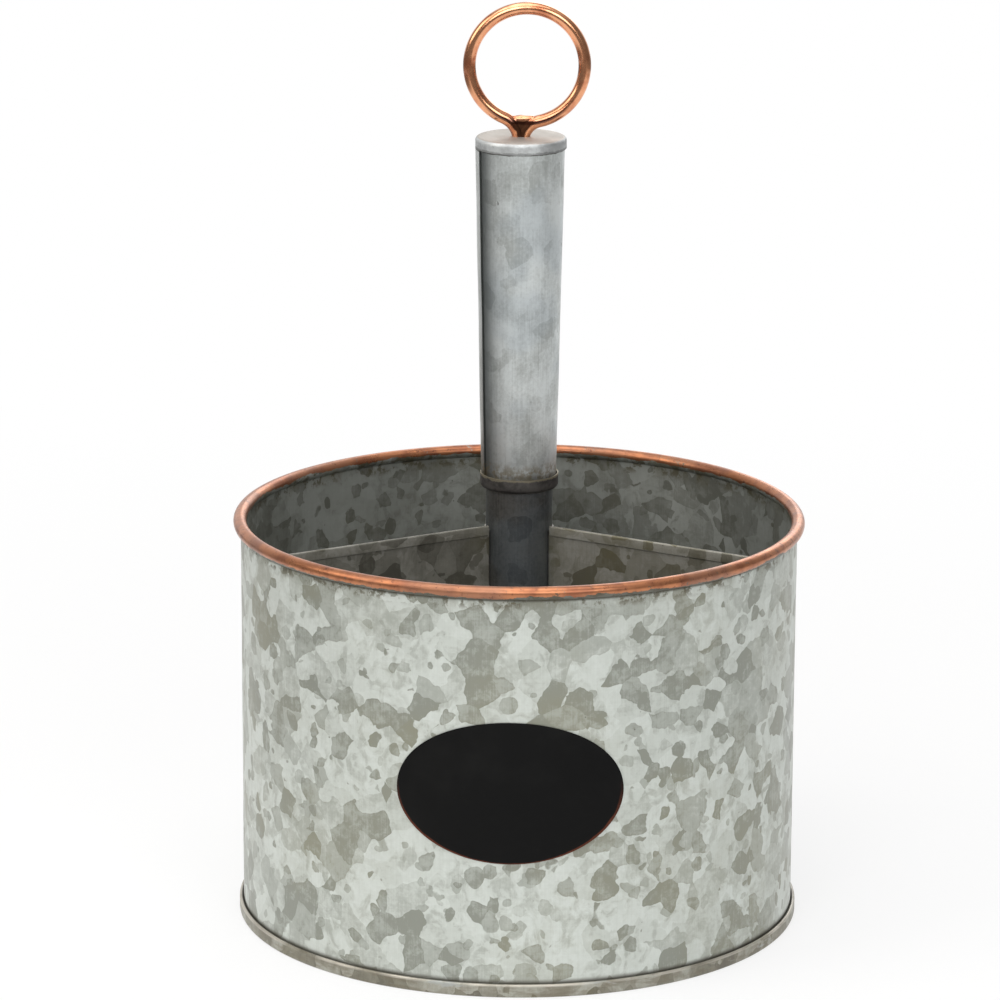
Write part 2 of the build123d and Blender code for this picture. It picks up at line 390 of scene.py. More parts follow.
def galvanised(name, tones, shift=(0, 0, 0), cover_and_shading=None):
    """Galvanised sheet: lobed crystals of zinc in four tones, soft clouds and fine rolled lines.

    cover_and_shading is what a piece has on its zinc, with any painted shade and highlights: it changes the
    tone, and says where that is bright metal."""
    material, surface, place = new_finish(name)
    ground = place.moved(shift)
    stirred = ground.stirred(0.006, 0.004).stirred(0.002, 0.0006)

    large = crystals(stirred, size=0.0100, shift=(0.1, 0.2, 0.3), low=0.58, high=1.28)
    small = crystals(stirred, size=0.0062, shift=(0.7, 0.5, 0.2), low=0.30, high=0.82)
    lobes, lobe_outline, (lobe_dark, lobe_tone, lobe_warm), (pale_dark, _, pale_pick) = large
    small_lobes, small_outline, (small_dark, _, _), _ = small
    dark = (lobes * (0.34 + 0.66 * lobe_dark)).larger(small_lobes * (0.30 + 0.60 * small_dark))
    dark = dark + lobe_outline * 0.10 + small_outline * 0.06
    middle = pale_pick.ramp(0.66, 0.68) * (0.12 + 0.22 * pale_dark)
    depth = dark.larger(middle)

    # Rolling and wiping leave soft grey clouds, mottling and fine lines, mostly upright.
    clouds = ground.stretched(1, 1, 0.8).stirred(0.012, 0.02).noise(0.007, 4, 0.62)
    brushed = clouds.ramp(0.47, 0.62) * 0.34
    mottle = ground.stirred(0.004, 0.004).noise(0.005, 4, 0.7) - 0.5
    streaks = ground.stretched(1, 1, 0.02).noise(0.0004, 2, 0.6) - 0.5
    level_streaks = ground.stretched(0.03, 0.03, 1).noise(0.0006, 2, 0.6) - 0.5
    fine = ground.noise(0.0014, 3, 0.7) - 0.5
    lines = streaks * (0.20 + dark * 0.3) + level_streaks * 0.14
    mottled = mottle * (0.4 + depth * 1.5)
    depth = depth.larger(brushed) + mottled + (lobe_tone - 0.5) * 0.10 + lines + fine * 0.3
    tone = depth.ramp(-0.15, 0.16).blend(tones[0], tones[1])
    tone = depth.ramp(0.12, 0.52).blend(tone, tones[2])
    tone = depth.ramp(0.48, 1.00).blend(tone, tones[3])
    warm = ground.noise(0.05, 3).ramp(0.40, 0.62) * (0.15 + depth) * (0.4 + 0.6 * lobe_warm)
    tone = (warm * 0.22).blend(tone, tint(146, 136, 88))
    spots = ground.cells(0.006)
    specks = (0.05 - spots["Distance"]).ramp(0, 0.03) * spots["Color"].parts()[1].ramp(0.7, 0.72)
    tone = (specks * 0.7).blend(tone, tint(78, 76, 66))

    rough = 0.52 - depth * 0.08 + streaks * 0.1
    zinc_shine = 0.5
    bright_shine = 0.85
    shine = zinc_shine
    if cover_and_shading:
        tone, bright = cover_and_shading(place, tone)
        rough = rough - bright * 0.16
        shine = zinc_shine + bright * (bright_shine - zinc_shine)
    height = streaks + depth * 0.4 + fine * 0.5
    relief = place.node("Bump", {}, {"Height": height, "Strength": 0.25, "Distance": 0.0001})["Normal"]
    place.fill(surface, {"Base Color": tone, "Metallic": shine, "Roughness": rough, "Normal": relief})
    place.fill(surface, {"Coat Weight": 0.4, "Coat Roughness": 0.4})
    return material


seam_top = 0.0042
floor_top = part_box("base_plate")[1].z
rod_hole = 0.0022
seam_inner = wall_middle - layer
seam_outer = wall_middle + 3 * layer
seam_hook = wall_middle + layer
hook_end = 0.0012
disc_bend = 0.0012
foot_bend = 0.0006
seam_bend = 0.0004
base_plate = spin_sheet("base_plate_sheet", rounded([
    (rod_hole, floor_top - sheet / 2),
    (seam_inner, floor_top - sheet / 2, disc_bend),
    (seam_inner, sheet / 2, foot_bend),
    (seam_outer, sheet / 2, foot_bend),
    (seam_outer, seam_top - sheet / 2, seam_bend),
    (seam_hook, seam_top - sheet / 2, seam_bend),
    (seam_hook, hook_end),
]))
thicken(base_plate)
seam_tones = [tint(172, 171, 160), tint(154, 152, 140), tint(132, 129, 115), tint(106, 103, 91)]


def seam_blotches_and_shading(place, tone):
    """Brown blotches and pale spots on the seam, a painted highlight along its upper edge, and painted
    shade in its crevice.
    """
    x, y, z = place.parts()
    radius = x.diagonal(y)
    along = place.stretched(0.35, 0.35, 1.6)
    blotches = along.noise(0.004, 4, 0.65).ramp(0.44, 0.62)
    tone = (blotches * 0.55).blend(tone, tint(116, 107, 88))
    pale_spots = along.moved((0.4, 0.1, 0)).noise(0.004, 3, 0.6).ramp(0.60, 0.70)
    tone = (pale_spots * 0.7).blend(tone, tint(172, 176, 174))
    # Painted highlight along the seam's upper edge, where its rounded top catches light; the metal is a
    # little brighter there too.
    edge = (z - (seam_top - 0.0009)).ramp(0, 0.0004) * place.noise(0.02, 3).ramp(0.35, 0.6)
    tone = (edge * 0.75).blend(tone, tint(206, 200, 188))
    # Painted shade in the crevice between the seam's top and the wall.
    upper = (z - (seam_top - 0.001)).ramp(0, 0.0003)
    crevice_shade = (seam_outer - 0.00035 - radius).ramp(0, 0.0003) * upper
    return (crevice_shade * 0.9).blend(tone, tint(52, 48, 40)), edge * 0.3


dress(base_plate, galvanised("seam_zinc", seam_tones, (0.2, 0.1, 0.3), seam_blotches_and_shading))
place_piece(base_plate, "base_plate")


# Bucket wall
# A strip of galvanised sheet, rolled and closed by a lock seam at the back. Its foot is folded into the
# base seam, and its top is curled outwards round a wire. The curl is painted copper outside and on top.
rim_low, rim_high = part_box("rim_wire")
rim_middle = rim_high.x - (rim_high.z - rim_low.z) / 2
rim_height = (rim_low.z + rim_high.z) / 2
wall_outside = wall_middle + sheet / 2
curl_radius = 0.00184
curl_stop = -math.radians(60)
curl_steps = 24
neck_bend = 0.0006
neck_steps = 4
wall_rings = 40
fold_gap = 0.0003


def arc_points(middle, radius, start, stop, steps):
    """Points along an arc, with both its ends."""
    angles = [start + (stop - start) * step / steps for step in range(steps + 1)]
    return [Vector(middle) + radius * Vector((math.cos(angle), math.sin(angle))) for angle in angles]


bend_middle = wall_middle - neck_bend
neck_rise = math.sqrt((neck_bend + curl_radius) ** 2 - (rim_middle - bend_middle) ** 2)
neck_angle = math.asin(neck_rise / (neck_bend + curl_radius))
neck_foot = rim_height - neck_rise
wall_profile = rounded([
    (wall_middle + 2 * layer, seam_top - sheet - fold_gap),
    (wall_middle + 2 * layer, sheet / 2 + layer, seam_bend),
    (wall_middle, sheet / 2 + layer, seam_bend),
    (wall_middle, seam_top + layer),
])
wall_foot = wall_profile[-1].y
for ring in range(1, wall_rings + 1):
    wall_profile.append(Vector((wall_middle, wall_foot + (neck_foot - wall_foot) * ring / wall_rings)))
wall_profile += arc_points((bend_middle, neck_foot), neck_bend, 0, neck_angle, neck_steps)[1:]
curl_start = math.pi + neck_angle
wall_profile += arc_points((rim_middle, rim_height), curl_radius, curl_start, curl_stop, curl_steps)[1:]
bucket_wall = spin_sheet("bucket_wall_sheet", wall_profile)
dent(bucket_wall, size=0.035, depth=0.0003, where=lambda p: 0.012 < p.z < 0.118)
thicken(bucket_wall)


def draw_level(name, line, height):
    """New piece: a line of (x, y) points at one height, ready to be drawn up."""
    return draw_line(name, [Vector((x, y, height)) for x, y in line])


# The lock seam is a folded strip: one edge joggles up from the wall, and the other is turned under.
lock_half = 0.0025
lock_low = 0.0043
lock_high = rim_low.z - 0.00085
lock_outer = wall_outside + 0.0008
lock_inner = wall_outside + 0.0002
joggle_bend = 0.0003
lock_bend = 0.00029
lock_rows = 12
lock_line = rounded([
    (lock_half + 0.0008, wall_outside - 0.0001),
    (lock_half + 0.0003, wall_outside, joggle_bend),
    (lock_half - 0.0002, lock_outer, joggle_bend),
    (-lock_half, lock_outer, lock_bend),
    (-lock_half, lock_inner, lock_bend),
    (lock_half - 0.001, lock_inner),
])
lock_seam = draw_level("wall_lock_seam", lock_line, lock_low)
draw_up(lock_high - lock_low, lock_rows)
close_up()
thicken(lock_seam)
bpy.ops.object.select_all(action="DESELECT")
lock_seam.select_set(True)
bucket_wall.select_set(True)
bpy.context.view_layer.objects.active = bucket_wall
bpy.ops.object.join()


def copper_edge(place, tone):
    """Copper paint over the rim with dirt and stains under it, and painted shade under the curl, above the
    foot seam and on the inner side.
    """
    x, y, z = place.parts()
    radius = x.diagonal(y)
    # Painted shade: the inner side of the wall is darker.
    inner_shade = (wall_middle - radius).ramp(0, 0.0001)
    tone = (inner_shade * 0.45).blend(tone, tint(70, 65, 61))
    dirt = place.stretched(1, 1, 0.5).noise(0.006, 3, 0.6).ramp(0.48, 0.60)
    dirt = dirt * (z - 0.119).ramp(0, 0.008)
    tone = (dirt * 0.5).blend(tone, tint(124, 120, 98))
    stains = place.moved((0.3, 0, 0)).noise(0.004, 4, 0.7).ramp(0.5, 0.6)
    stains = stains * (z - (neck_foot - 0.004)).ramp(0, 0.003)
    tone = (stains * 0.85).blend(tone, tint(98, 92, 72))
    # Painted shade on the outside, in a band just under the curl.
    outer_side = (radius - wall_middle).ramp(-0.0001, 0.0002)
    crevice_shade = (z - (neck_foot - 0.0009)).ramp(0, 0.0009) * outer_side
    tone = (crevice_shade * 0.85).blend(tone, tint(74, 70, 56))
    # Painted shade of the crevice just above the foot seam.
    foot_crevice_shade = (seam_top + 0.0016 - z).ramp(0, 0.0016) * outer_side
    tone = (foot_crevice_shade * 0.8).blend(tone, tint(84, 80, 68))

    # The paint stops at a ragged line under the rim, and is nicked and rubbed in places.
    ragged = (place.noise(0.004, 4, 0.7) - 0.5) * 0.0026 + (place.noise(0.018, 1) - 0.5) * 0.0036
    inside = (rim_middle - radius).ramp(0.0004, 0.0016)
    lower_edge = inside * 0.0009 - 0.0011
    painted = (z - rim_height + ragged - lower_edge).ramp(0, 0.00012)
    painted = painted * (1 - place.noise(0.003, 4, 0.75).ramp(0.63, 0.67) * 0.8)
    copper = place.noise(0.007, 3, 0.6).ramp(0.4, 0.65).blend(tint(190, 124, 84), tint(156, 96, 66))
    matt = place.noise(0.03, 2).ramp(0.5, 0.62)
    copper = (matt * 0.5).blend(copper, tint(140, 102, 82))
    nicks = place.noise(0.0016, 3, 0.7).ramp(0.60, 0.68)
    copper = (nicks * 0.7).blend(copper, tint(96, 56, 42))
    return painted.blend(tone, copper), painted * (1 - matt * 0.5)


wall_tones = [tint(209, 214, 208), tint(198, 203, 196), tint(170, 174, 166), tint(140, 143, 133)]
dress(bucket_wall, galvanised("wall_zinc", wall_tones, cover_and_shading=copper_edge))
place_piece(bucket_wall, "bucket_wall")


# Rim wire
# A ring of drawn steel wire that stiffens the rim. The wall is curled round it, and only a strip of it
# shows from below, where the curl ends.
def bright_steel(name, tone, worn_tone, rough):
    """Bright metal with fine upright scratches, in two tones."""
    material, surface, place = new_finish(name)
    scratches = place.stretched(1, 1, 0.2).noise(0.0006, 3, 0.6)
    colour = place.noise(0.004, 3, 0.6).ramp(0.42, 0.72).blend(tone, worn_tone)
    relief = place.node("Bump", {}, {"Height": scratches, "Strength": 0.2, "Distance": 0.00005})
    rough = rough + scratches * 0.16
    place.fill(surface, {"Base Color": colour, "Metallic": 1.0, "Roughness": rough})
    place.fill(surface, {"Normal": relief["Normal"]})
    return material


def dress_node(name, material):
    """Gives a piece that the frame already holds its finish."""
    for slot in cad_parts[name].material_slots:
        slot.material = material


dress_node("rim_wire", bright_steel("plain_wire", tint(176, 174, 170), tint(120, 116, 108), 0.3))


# Label
# An oval plate coated with matt black chalkboard paint. It is bent to the wall and glued on, and its
# lower edge shows a thin reddish-brown line where the coat is rubbed away.
label_width = 0.0698
label_tall = 0.0444
label_thickness = 0.0006
label_bevel = 0.0002
label_height = 0.0645
label_turn = math.radians(1.6)
label_sides = 144
label_strips = 30

bpy.ops.object.select_all(action="DESELECT")
bpy.ops.mesh.primitive_circle_add(
    vertices=label_sides, radius=label_width / 2, fill_type="NGON", rotation=(math.pi / 2, 0, 0)
)
label = bpy.context.object
label.name = "chalkboard_label"
label.data.name = "chalkboard_label"
bpy.ops.object.transform_apply(location=True, rotation=True, scale=True)
bpy.ops.object.mode_set(mode="EDIT")
bpy.ops.mesh.select_all(action="SELECT")
bpy.ops.transform.resize(value=(1, 1, label_tall / label_width), center_override=(0, 0, 0))
bpy.ops.mesh.extrude_region_move(TRANSFORM_OT_translate={"value": (0, -label_thickness, 0)})
bpy.ops.mesh.select_all(action="SELECT")
bpy.ops.mesh.normals_make_consistent(inside=False)
bpy.ops.object.mode_set(mode="OBJECT")
shape(label, "BEVEL", width=label_bevel, segments=3, limit_method="ANGLE")
bpy.ops.object.mode_set(mode="EDIT")
for strip in range(1, label_strips):
    bpy.ops.mesh.select_all(action="SELECT")
    cut = label_width * (strip / label_strips - 0.5)
    bpy.ops.mesh.bisect(plane_co=(cut, 0, 0), plane_no=(1, 0, 0))
bpy.ops.object.mode_set(mode="OBJECT")
shape(label, "SIMPLE_DEFORM", deform_method="BEND", deform_axis="Z", angle=label_width / wall_outside)
bpy.ops.transform.translate(value=(0, -wall_outside, label_height))
bpy.ops.object.transform_apply(location=True, rotation=True, scale=True)
bpy.ops.object.shade_smooth_by_angle(angle=math.radians(35))


def turn_round(piece, angle):
    """Turns a piece anticlockwise round the caddy's axis.

    The angle is negated because with no window, the operator turns the other way."""
    bpy.ops.object.select_all(action="DESELECT")
    piece.select_set(True)
    bpy.context.view_layer.objects.active = piece
    bpy.ops.transform.rotate(value=-angle, orient_axis="Z", center_override=(0, 0, 0))
    bpy.ops.object.transform_apply(location=True, rotation=True, scale=True)


turn_round(label, -label_turn)

board, board_surface, board_place = new_finish("chalkboard_paint")
board_x, _, board_z = board_place.parts()
label_shift = 0.0024  # The label's middle is this far to the left.
label_chord = 0.0679  # The bent label's width from edge to edge.
off_middle = (board_x + label_shift) * (2 / label_chord)
off_level = (board_z - label_height) * (2 / label_tall)
oval = off_middle.diagonal(off_level)
rubbed = (oval + board_place.noise(0.003, 3) * 0.02).ramp(0.988, 1.0) * (0 - off_level).ramp(-0.2, 0.5)
smears = board_place.noise(0.02, 4, 0.65).ramp(0.45, 0.8)
grains = board_place.noise(0.0006, 2).ramp(0.6, 0.9)
dust = smears * 0.35 + grains * 0.2
board_tone = dust.blend(tint(12, 12, 12), tint(32, 32, 31))
board_tone = (rubbed * 0.55).blend(board_tone, tint(112, 60, 42))
tooth = board_place.noise(0.0004, 3)
board_relief = board_place.node("Bump", {}, {"Height": tooth, "Strength": 0.3, "Distance": 0.00004})
board_place.fill(board_surface, {
    "Base Color": board_tone,
    "Roughness": 0.65 + dust * 0.3,
    "Normal": board_relief["Normal"],
    "Specular IOR Level": 0.12,
})
dress(label, board)
place_piece(label, "label_plate")


# Dividers
# Three upright sheets from the post to the wall. Each has its top edge folded over as a hem, and a flange
# down each side that is spot-welded to the post or the wall.
post_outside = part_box("center_post")[1].x
wall_inside = wall_middle - sheet / 2
air = 0.00005
flange = 0.008
flange_shares = [1, 0.75, 0.5, 0.25]
divider_bend = 0.0006
divider_rows = 8
rim_room = 0.0005
flange_top = rim_height - curl_radius - sheet / 2 - rim_room
web_stop = rim_middle - curl_radius - sheet / 2 - rim_room
hem_start = 0.01135
web_points = [web_stop, 0.06, 0.035, hem_start]
hem_bottom = 0.123
hem_fold = 0.0003
hem_level = 0.1255
hem_steps = 6


def polar(radius, angle):
    """Point at a radius and an angle round the caddy's axis."""
    return (radius * math.cos(angle), radius * math.sin(angle))


def select_edges(piece, where):
    """Selects the edges whose two ends are where a rule says."""
    bpy.ops.mesh.select_mode(type="EDGE")
    bpy.ops.mesh.select_all(action="DESELECT")
    mesh = bmesh.from_edit_mesh(piece.data)
    for edge in mesh.edges:
        edge.select_set(all(where(v.co) for v in edge.verts))
    bmesh.update_edit_mesh(piece.data)


def divider(name, direction, hem_side):
    """Divider that points in a direction, with its hem on one side and its flanges on the other."""
    on_wall = wall_inside - air - sheet / 2
    on_post = post_outside + air + sheet / 2
    line = [polar(on_wall, -hem_side * share * flange / on_wall) for share in flange_shares]
    line += [(on_wall, 0, divider_bend)] + [(x, 0) for x in web_points] + [(on_post, 0, divider_bend)]
    line += [polar(on_post, -hem_side * share * flange / on_post) for share in reversed(flange_shares)]
    piece = draw_level(name, rounded(line), floor_top)
    draw_up(flange_top - floor_top, divider_rows)

    # The hem goes up, over through a half turn, and down again.
    def under_hem(p):
        on_web = hem_start - same_spot < p.x < web_stop + same_spot and abs(p.y) < same_spot
        return on_web and p.z > flange_top - same_spot

    select_edges(piece, under_hem)
    fold = arc_points((hem_fold, hem_level), hem_fold, math.pi, 0, hem_steps)
    hem = [Vector((0, flange_top))] + fold + [Vector((2 * hem_fold, hem_bottom))]
    for here, there in zip(hem, hem[1:]):
        across, rise = there - here
        bpy.ops.mesh.extrude_edges_move(TRANSFORM_OT_translate={"value": (0, hem_side * across, rise)})
    close_up()
    dent(piece, size=0.03, depth=0.0005, where=lambda p: 0.018 < p.x < 0.078 and 0.014 < p.z < 0.116)
    thicken(piece)
    turn_round(piece, direction)
    return piece


# The dividers have the wall's zinc in darker tones: painted shade inside the caddy.
shaded_inner_tones = [tint(150, 148, 140), tint(132, 130, 121), tint(112, 110, 101), tint(90, 88, 79)]
divider_zinc = galvanised("divider_zinc", shaded_inner_tones, (0.4, 0.5, 0.1))
dividers = [("divider_back", 90, 1), ("divider_left", 210, 1), ("divider_right", 330, -1)]
for name, direction, hem_side in dividers:
    piece = divider(name + "_sheet", math.radians(direction), hem_side)
    dress(piece, divider_zinc)
    place_piece(piece, name)


# Post
# A straight tube, rolled from sheet with a butt joint at the back. It stands on the floor and carries the
# handle, and the tie rod runs down its middle.
post_low, post_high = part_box("center_post")
post_sheet = 0.0005
post_joint = 0.0001
post_sides = 96
post_rows = 8
post_middle = post_outside - post_sheet / 2
joint_angle = post_joint / post_middle
post_start = math.pi / 2 + joint_angle
post_stop = 2.5 * math.pi - joint_angle
post_line = arc_points((0, 0), post_middle, post_start, post_stop, post_sides)
post = draw_level("center_post_tube", post_line, post_low.z)
draw_up(post_high.z - post_low.z, post_rows)
close_up()
thicken(post, post_sheet)


def rolled_zinc(name, pale, dark, shift, marks_and_shading=None):
    """Bare zinc on a rolled tube: soft clouds, faint crystals, upright streaks and a few dark pits."""
    material, surface, place = new_finish(name)
    ground = place.moved(shift)
    stirred = ground.stirred(0.008, 0.006).stirred(0.002, 0.001)
    found = crystals(stirred, size=0.011, shift=(0.2, 0.6, 0.1), low=0.6, high=1.1)
    faint, _, (crystal_dark, _, _), _ = found
    clouds = ground.stretched(1, 1, 0.6).noise(0.010, 5, 0.6) - 0.5
    streaks = ground.stretched(1, 1, 0.02).noise(0.0005, 3, 0.6) - 0.5
    fine = ground.noise(0.001, 3, 0.7) - 0.5
    depth = 0.38 + faint * 0.40 * crystal_dark + clouds * 2.1 + streaks * 0.6 + fine * 0.9
    tone = depth.ramp(0.0, 1.1).blend(pale, dark)
    blue = ground.noise(0.02, 2).ramp(0.45, 0.65)
    tone = (blue * 0.25).blend(tone, tint(150, 164, 176))
    spots = ground.stretched(1, 1, 0.5).stirred(0.002, 0.001).cells(0.0042)
    pits = (0.10 - spots["Distance"]).ramp(0, 0.06) * spots["Color"].parts()[1].ramp(0.66, 0.68)
    tone = (pits * 0.7).blend(tone, tint(88, 86, 80))
    if marks_and_shading:
        tone = marks_and_shading(place, tone)
    height = streaks * 0.6 + clouds + fine * 0.4 - pits * 0.5
    relief = place.node("Bump", {}, {"Height": height, "Strength": 0.3, "Distance": 0.00012})["Normal"]
    rough = 0.40 + clouds * 0.25 + streaks * 0.12
    place.fill(surface, {"Base Color": tone, "Metallic": 0.85, "Roughness": rough, "Normal": relief})
    return material


# The post has the tube's zinc in darker tones: painted shade under the handle.
dress(post, rolled_zinc("post_zinc", tint(128, 128, 126), tint(74, 72, 68), (0.7, 0.2, 0.6)))
place_piece(post, "center_post")


# Handle
# A tapered tube, rolled so that one edge laps over the other, between two pressed caps. The rod pulls the
# caps together. The caps are zinc plated, and the edges of their skirts are a little uneven.
tube_low, tube_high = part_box("handle_tube")
tube_lower = 0.0114 - sheet / 2
tube_upper = 0.0136 - sheet / 2
upper_cap_depth = 0.0035
lower_cap_depth = 0.0044
cap_bend = 0.0010
cap_shoulder = 0.004
upper_cap_edge = tube_high.z + sheet - upper_cap_depth
lower_cap_edge = tube_low.z - sheet + lower_cap_depth
lap_start = math.radians(174)
lap_edge = math.radians(204)
lap_low = lower_cap_edge + air
lap_high = upper_cap_edge - air
lap_climb = math.radians(3)
lap_gap = 0.00002
lap_steps = 12
tube_sides = 120
tube_rings = 24


def tube_radius(height):
    """Middle radius of the tapered tube at a height."""
    return tube_lower + (tube_upper - tube_lower) * (height - tube_low.z) / (tube_high.z - tube_low.z)


def draw_to(height, next_height, steps):
    """Extrudes the selected edges along the tube's taper, from one height to the next."""
    for step in range(steps):
        here = height + (next_height - height) * step / steps
        there = height + (next_height - height) * (step + 1) / steps
        bpy.ops.mesh.extrude_edges_move(TRANSFORM_OT_translate={"value": (0, 0, there - here)})
        wider = tube_radius(there) / tube_radius(here)
        bpy.ops.transform.resize(value=(wider, wider, 1), center_override=(0, 0, there))


inner_radius = tube_radius(lap_low)
outer_radius = inner_radius + sheet + lap_gap
lap_stop = lap_start + full_turn
tube_line = arc_points((0, 0), inner_radius, lap_start, lap_stop - lap_climb, tube_sides)
tube_line += arc_points((0, 0), outer_radius, lap_stop, lap_edge + full_turn, lap_steps)
tube = draw_level("handle_tube_sheet", tube_line, lap_low)
draw_to(lap_low, lap_high, tube_rings)


def inner_layer(height):
    """Rule that picks the tube's points at a height, without those of the lap."""
    limit = tube_radius(height) + sheet / 2
    return lambda p: abs(p.z - height) < same_spot and math.hypot(p.x, p.y) < limit


select_edges(tube, inner_layer(lap_high))
draw_to(lap_high, tube_high.z, 2)
select_edges(tube, inner_layer(lap_low))
draw_to(lap_low, tube_low.z, 2)
close_up()
dent(tube, size=0.02, depth=0.00025, where=lambda p: lap_low + 0.004 < p.z < lap_high - 0.004)
thicken(tube)


def tube_marks_and_shading(place, tone):
    """Painted shadow along the lap's edge and under the upper cap, a painted highlight on the lap near its
    top, dirt and a darker band above the lower cap, and painted shade beside the lap.
    """
    x, y, z = place.parts()
    past_edge = y * math.cos(lap_edge) - x * math.sin(lap_edge)
    width = 0.0008 - (z - tube_low.z) * (0.00055 / (tube_high.z - tube_low.z))
    left_side = (0 - x).ramp(0, 0.001)
    beside_lap = past_edge.ramp(-0.0001, 0) * left_side
    # Painted shadow that the lap's edge casts beside it, wider towards the bottom.
    line = (width - past_edge).ramp(0, 0.0002) * beside_lap
    tone = (line * 0.8).blend(tone, tint(70, 66, 58))
    # The lap itself: a painted highlight near the top, darker and browner lower down.
    lapped = (0 - past_edge).ramp(0, 0.0001) * left_side
    foot = (tube_high.z - z).ramp(0.02, 0.10)
    tone = (lapped * 0.6).blend(tone, foot.blend(tint(240, 243, 241), tint(112, 104, 92)))
    # Painted shade in a band beside the lap.
    shaded = (0.0078 - past_edge).ramp(0, 0.0068) * beside_lap
    tone = (shaded * 0.85).blend(tone, tint(86, 90, 89))

    # Painted shadow under the upper cap's edge; above the lower cap the tube is darker, with yellowish
    # dirt.
    uneven = place.noise(0.003, 3, 0.6) * 0.0016
    under_cap_shadow = (z + uneven * 0.55 - upper_cap_edge).ramp(0, 0.0002)
    dusty = place.noise(0.002, 3, 0.7).ramp(0.40, 0.60)
    dusty = dusty * (lower_cap_edge + 0.0045 - z + uneven * 2).ramp(0, 0.004)
    tone = (dusty * 0.6).blend(tone, tint(134, 118, 84))
    over_cap = (lower_cap_edge + 0.0010 - z + uneven).ramp(0, 0.0014)
    return (under_cap_shadow * 0.9).larger(over_cap * 0.5).blend(tone, tint(70, 66, 58))


tube_zinc = rolled_zinc("tube_zinc", tint(226, 231, 230), tint(176, 180, 177), (0.9, 0.3, 0.2), tube_marks_and_shading)
dress(tube, tube_zinc)
place_piece(tube, "handle_tube")


def pressed_cap(name, radius, depth, flat, downwards):
    """Cap with its flat face at a height, whose skirt points down or up."""
    middle = flat - downwards * sheet / 2
    edge = flat - downwards * depth
    corners = [(rod_hole, middle), (radius - cap_shoulder, middle), (radius, middle, cap_bend)]
    corners += [(radius, (middle + edge) / 2), (radius, edge)]
    piece = spin_sheet(name, rounded(corners))
    dent(piece, size=0.004, depth=0.0003, where=lambda p: abs(p.z - edge) < same_spot, direction="Z")
    dent(piece, size=0.006, depth=0.0001, where=lambda p: downwards * (middle - p.z) > cap_bend)
    thicken(piece)
    return piece


def zinc_plate(name, pale, dark, edge_shading, depth, flat, downwards):
    """Satin zinc plate with fine scratches, a warm cloud on its flat face and painted shading along its
    skirt's edge.
    """
    material, surface, place = new_finish(name)
    clouds = place.noise(0.006, 4, 0.65)
    scratches = place.stretched(1, 1, 0.1).noise(0.0005, 2, 0.6)
    tone = clouds.ramp(0.36, 0.66).blend(pale, dark)
    below = (flat - place.parts()[2]) * downwards
    face = (0.0003 - below).ramp(0, 0.0002)
    tone = (face * 0.8).blend(tone, tint(190, 183, 174))
    # The skirt's edge is painted in the given edge shading.
    edge = (below + place.noise(0.002, 3, 0.6) * 0.0014 - depth).ramp(-0.0001, 0.0003)
    tone = (edge * 0.5).blend(tone, edge_shading)
    spots = place.noise(0.0009, 3, 0.7).ramp(0.64, 0.72)
    tone = (spots * 0.4).blend(tone, tint(110, 106, 102))
    height = clouds + scratches * 0.2
    relief = place.node("Bump", {}, {"Height": height, "Strength": 0.3, "Distance": 0.0002})["Normal"]
    rough = 0.42 + clouds * 0.2 + scratches * 0.1
    place.fill(surface, {"Base Color": tone, "Metallic": 0.9, "Roughness": rough, "Normal": relief})
    return material


# The bottom cap has the top cap's zinc in darker tones: painted shade. Its edge shading is a painted
# highlight where its skirt's edge catches light; the top cap's is painted shade at its skirt's lower edge.
caps = [
    ("handle_top_cap", 1, upper_cap_depth, tint(214, 217, 217), tint(182, 184, 184), tint(96, 96, 92)),
    ("handle_bottom_cap", -1, lower_cap_depth, tint(112, 109, 106), tint(76, 73, 71), tint(186, 176, 150)),
]
for name, downwards, depth, pale, dark, edge_shading in caps:
    cap_low, cap_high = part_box(name)
    flat = cap_high.z if downwards > 0 else cap_low.z
    cap = pressed_cap(name + "_sheet", cap_high.x - sheet / 2, depth, flat, downwards)
    dress(cap, zinc_plate(name + "_zinc", pale, dark, edge_shading, depth, flat, downwards))
    place_piece(cap, name)


# Carrying ring
# Copper-plated steel wire, bent into a ring whose two ends come down side by side to the cap. Brazing
# metal fills the gap between them and stands up in a low crest.
ring_wire = 0.00195
ring_radius = 0.01765
ring_middle = Vector((0.00175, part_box("handle_ring")[1].z - ring_radius - ring_wire))
leg_half = 0.00065
leg_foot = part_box("handle_ring")[0].z
leg_steps = 30
ring_steps = 150
ring_roundness = 26
bend_height = leg_foot - 0.0015  # The legs already bend apart where they come out of the cap.


def half_ring(side):
    """Points of the wire on one side: a leg, which bends straight into the ring, and half of the ring."""
    offset = leg_half - side * ring_middle.x
    rise = ring_middle.y - bend_height
    leg_bend = (offset ** 2 + rise ** 2 - ring_radius ** 2) / (2 * (ring_radius - offset))
    bend = Vector((side * (leg_half + leg_bend), bend_height))
    span = ring_middle - bend
    leaving = math.atan2(span.y, span.x)
    start = math.pi / 2 * (1 + side)
    joining = leaving + side * math.pi
    top = math.pi / 2 + side * full_turn
    points = arc_points(bend, leg_bend, start, leaving, leg_steps)
    points += arc_points(ring_middle, ring_radius, joining, top, ring_steps)[1:]
    return points


ring_line = half_ring(-1) + half_ring(1)[-2::-1]
ring = draw_line("copper_ring", [Vector((x, 0, z)) for x, z in ring_line])
bpy.ops.object.mode_set(mode="OBJECT")
bpy.ops.object.convert(target="CURVE")
ring.data.bevel_depth = ring_wire
ring.data.bevel_resolution = ring_roundness
ring.data.use_fill_caps = True
bpy.ops.object.convert(target="MESH")
ring = bpy.context.object

